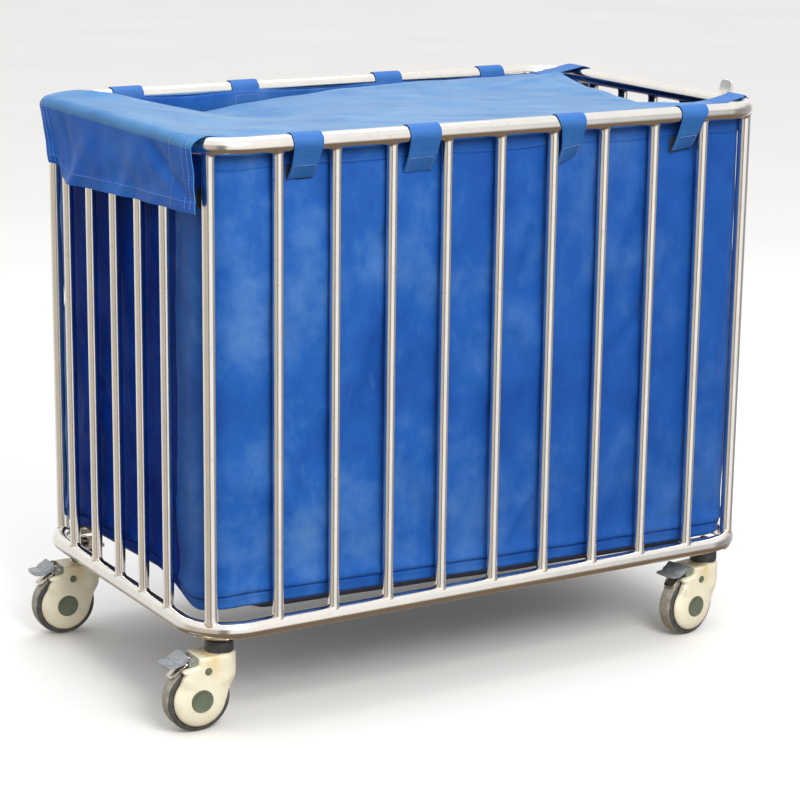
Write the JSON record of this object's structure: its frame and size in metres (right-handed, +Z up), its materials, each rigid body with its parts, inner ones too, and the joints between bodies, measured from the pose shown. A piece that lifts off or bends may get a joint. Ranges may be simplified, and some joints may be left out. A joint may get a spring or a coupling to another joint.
{
  "type": "linen trolley",
  "caption": "Open tube cage on braked swivel casters, holding a hung liner bag under a lift-up cloth cover, for moving ward linen.",
  "frame": {"origin": "on the floor, under the middle of the trolley's box", "axes": "+X along the trolley's long side, away from the end where the cover is fixed, +Y towards the back, +Z up"},
  "size_m": [1.0204, 0.5958, 0.875],
  "materials": {
    "rail_steel": "polished stainless tube",
    "post_steel": "polished stainless tube",
    "bar_steel": "polished stainless tube",
    "bag_fabric": "woven royal blue bag cloth",
    "cover_fabric": "woven blue cover cloth, lighter than the bag",
    "collar_plastic": "dark grey collar",
    "housing_plastic": "cream moulded covers",
    "tyre_rubber": "grey soft tyre",
    "cap_plastic": "dark grey-green caps",
    "pedal_plastic": "blue-grey moulded pedal",
    "tongue_steel": "plated steel"
  },
  "bodies": {
    "root": {"top_rail": "rail_steel", "bottom_rail": "rail_steel", "front_left_post": "post_steel", "front_right_post": "post_steel", "back_left_post": "post_steel", "back_right_post": "post_steel", "front_bar_1": "bar_steel", "front_bar_2": "bar_steel", "front_bar_3": "bar_steel", "front_bar_4": "bar_steel", "front_bar_5": "bar_steel", "front_bar_6": "bar_steel", "front_bar_7": "bar_steel", "front_bar_8": "bar_steel", "front_bar_9": "bar_steel", "back_bar_1": "bar_steel", "back_bar_2": "bar_steel", "back_bar_3": "bar_steel", "back_bar_4": "bar_steel", "back_bar_5": "bar_steel", "back_bar_6": "bar_steel", "back_bar_7": "bar_steel", "back_bar_8": "bar_steel", "back_bar_9": "bar_steel", "left_bar_1": "bar_steel", "left_bar_2": "bar_steel", "left_bar_3": "bar_steel", "left_bar_4": "bar_steel", "left_bar_5": "bar_steel", "right_bar_1": "bar_steel", "right_bar_2": "bar_steel", "right_bar_3": "bar_steel", "right_bar_4": "bar_steel", "right_bar_5": "bar_steel", "bag": "bag_fabric", "front_left_caster_stem": "collar_plastic", "front_right_caster_stem": "collar_plastic", "rear_left_caster_stem": "collar_plastic", "rear_right_caster_stem": "collar_plastic"},
    "front_left_swivel": {"front_left_caster_housing": "housing_plastic", "front_left_caster_axle": "cap_plastic"},
    "front_left_wheel": {"front_left_caster_wheel": "tyre_rubber"},
    "front_left_pedal": {"front_left_brake_pedal": "pedal_plastic"},
    "front_left_shoe": {"front_left_brake_shoe": "tongue_steel"},
    "front_right_swivel": {"front_right_caster_housing": "housing_plastic", "front_right_caster_axle": "cap_plastic"},
    "front_right_wheel": {"front_right_caster_wheel": "tyre_rubber"},
    "front_right_pedal": {"front_right_brake_pedal": "pedal_plastic"},
    "front_right_shoe": {"front_right_brake_shoe": "tongue_steel"},
    "rear_left_swivel": {"rear_left_caster_housing": "housing_plastic", "rear_left_caster_axle": "cap_plastic"},
    "rear_left_wheel": {"rear_left_caster_wheel": "tyre_rubber"},
    "rear_left_pedal": {"rear_left_brake_pedal": "pedal_plastic"},
    "rear_left_shoe": {"rear_left_brake_shoe": "tongue_steel"},
    "rear_right_swivel": {"rear_right_caster_housing": "housing_plastic", "rear_right_caster_axle": "cap_plastic"},
    "rear_right_wheel": {"rear_right_caster_wheel": "tyre_rubber"},
    "rear_right_pedal": {"rear_right_brake_pedal": "pedal_plastic"},
    "rear_right_shoe": {"rear_right_brake_shoe": "tongue_steel"},
    "cover": {"cover": "cover_fabric"}
  },
  "joints": [
    {"name": "front_left_swivel_turn", "type": "hinge", "parent": "root", "child": "front_left_swivel", "pos_m": [-0.4202, -0.238, 0.11357], "axis": [0, 0, 1], "continuous": true},
    {"name": "front_left_wheel_spin", "type": "hinge", "parent": "front_left_swivel", "child": "front_left_wheel", "pos_m": [-0.45718, -0.23671, 0.04957], "axis": [0.0349, 0.9994, 0], "continuous": true},
    {"name": "front_left_pedal_press", "type": "hinge", "parent": "front_left_swivel", "child": "front_left_pedal", "pos_m": [-0.46917, -0.23629, 0.10907], "axis": [-0.0349, -0.9994, 0], "range_deg": [0, 10]},
    {"name": "front_left_shoe_press", "type": "hinge", "parent": "front_left_swivel", "child": "front_left_shoe", "pos_m": [-0.46917, -0.23629, 0.10907], "axis": [-0.0349, -0.9994, 0], "range_deg": [0, 2.5]},
    {"name": "front_right_swivel_turn", "type": "hinge", "parent": "root", "child": "front_right_swivel", "pos_m": [0.4482, -0.238, 0.11357], "axis": [0, 0, 1], "continuous": true},
    {"name": "front_right_wheel_spin", "type": "hinge", "parent": "front_right_swivel", "child": "front_right_wheel", "pos_m": [0.41166, -0.24379, 0.04957], "axis": [-0.1564, 0.9877, 0], "continuous": true},
    {"name": "front_right_pedal_press", "type": "hinge", "parent": "front_right_swivel", "child": "front_right_pedal", "pos_m": [0.3998, -0.24566, 0.10907], "axis": [0.1564, -0.9877, 0], "range_deg": [0, 10]},
    {"name": "front_right_shoe_press", "type": "hinge", "parent": "front_right_swivel", "child": "front_right_shoe", "pos_m": [0.3998, -0.24566, 0.10907], "axis": [0.1564, -0.9877, 0], "range_deg": [0, 2.5]},
    {"name": "rear_left_swivel_turn", "type": "hinge", "parent": "root", "child": "rear_left_swivel", "pos_m": [-0.4202, 0.238, 0.11357], "axis": [0, 0, 1], "continuous": true},
    {"name": "rear_left_wheel_spin", "type": "hinge", "parent": "rear_left_swivel", "child": "rear_left_wheel", "pos_m": [-0.45715, 0.23994, 0.04957], "axis": [0.0523, 0.9986, 0], "continuous": true},
    {"name": "rear_left_pedal_press", "type": "hinge", "parent": "rear_left_swivel", "child": "rear_left_pedal", "pos_m": [-0.46913, 0.24056, 0.10907], "axis": [-0.0523, -0.9986, 0], "range_deg": [0, 10]},
    {"name": "rear_left_shoe_press", "type": "hinge", "parent": "rear_left_swivel", "child": "rear_left_shoe", "pos_m": [-0.46913, 0.24056, 0.10907], "axis": [-0.0523, -0.9986, 0], "range_deg": [0, 2.5]},
    {"name": "rear_right_swivel_turn", "type": "hinge", "parent": "root", "child": "rear_right_swivel", "pos_m": [0.4482, 0.238, 0.11357], "axis": [0, 0, 1], "continuous": true},
    {"name": "rear_right_wheel_spin", "type": "hinge", "parent": "rear_right_swivel", "child": "rear_right_wheel", "pos_m": [0.41134, 0.23478, 0.04957], "axis": [-0.0872, 0.9962, 0], "continuous": true},
    {"name": "rear_right_pedal_press", "type": "hinge", "parent": "rear_right_swivel", "child": "rear_right_pedal", "pos_m": [0.39939, 0.23373, 0.10907], "axis": [0.0872, -0.9962, 0], "range_deg": [0, 10]},
    {"name": "rear_right_shoe_press", "type": "hinge", "parent": "rear_right_swivel", "child": "rear_right_shoe", "pos_m": [0.39939, 0.23373, 0.10907], "axis": [0.0872, -0.9962, 0], "range_deg": [0, 2.5]},
    {"name": "cover_lift", "type": "hinge", "parent": "root", "child": "cover", "pos_m": [-0.4647, 0, 0.8425], "axis": [0, -1, 0], "range_deg": [0, 100]}
  ],
  "couplings": [
    {"joint": "front_left_shoe_press", "follows": "front_left_pedal_press", "ratio": 0.24},
    {"joint": "front_right_shoe_press", "follows": "front_right_pedal_press", "ratio": 0.24},
    {"joint": "rear_left_shoe_press", "follows": "rear_left_pedal_press", "ratio": 0.24},
    {"joint": "rear_right_shoe_press", "follows": "rear_right_pedal_press", "ratio": 0.24}
  ]
}
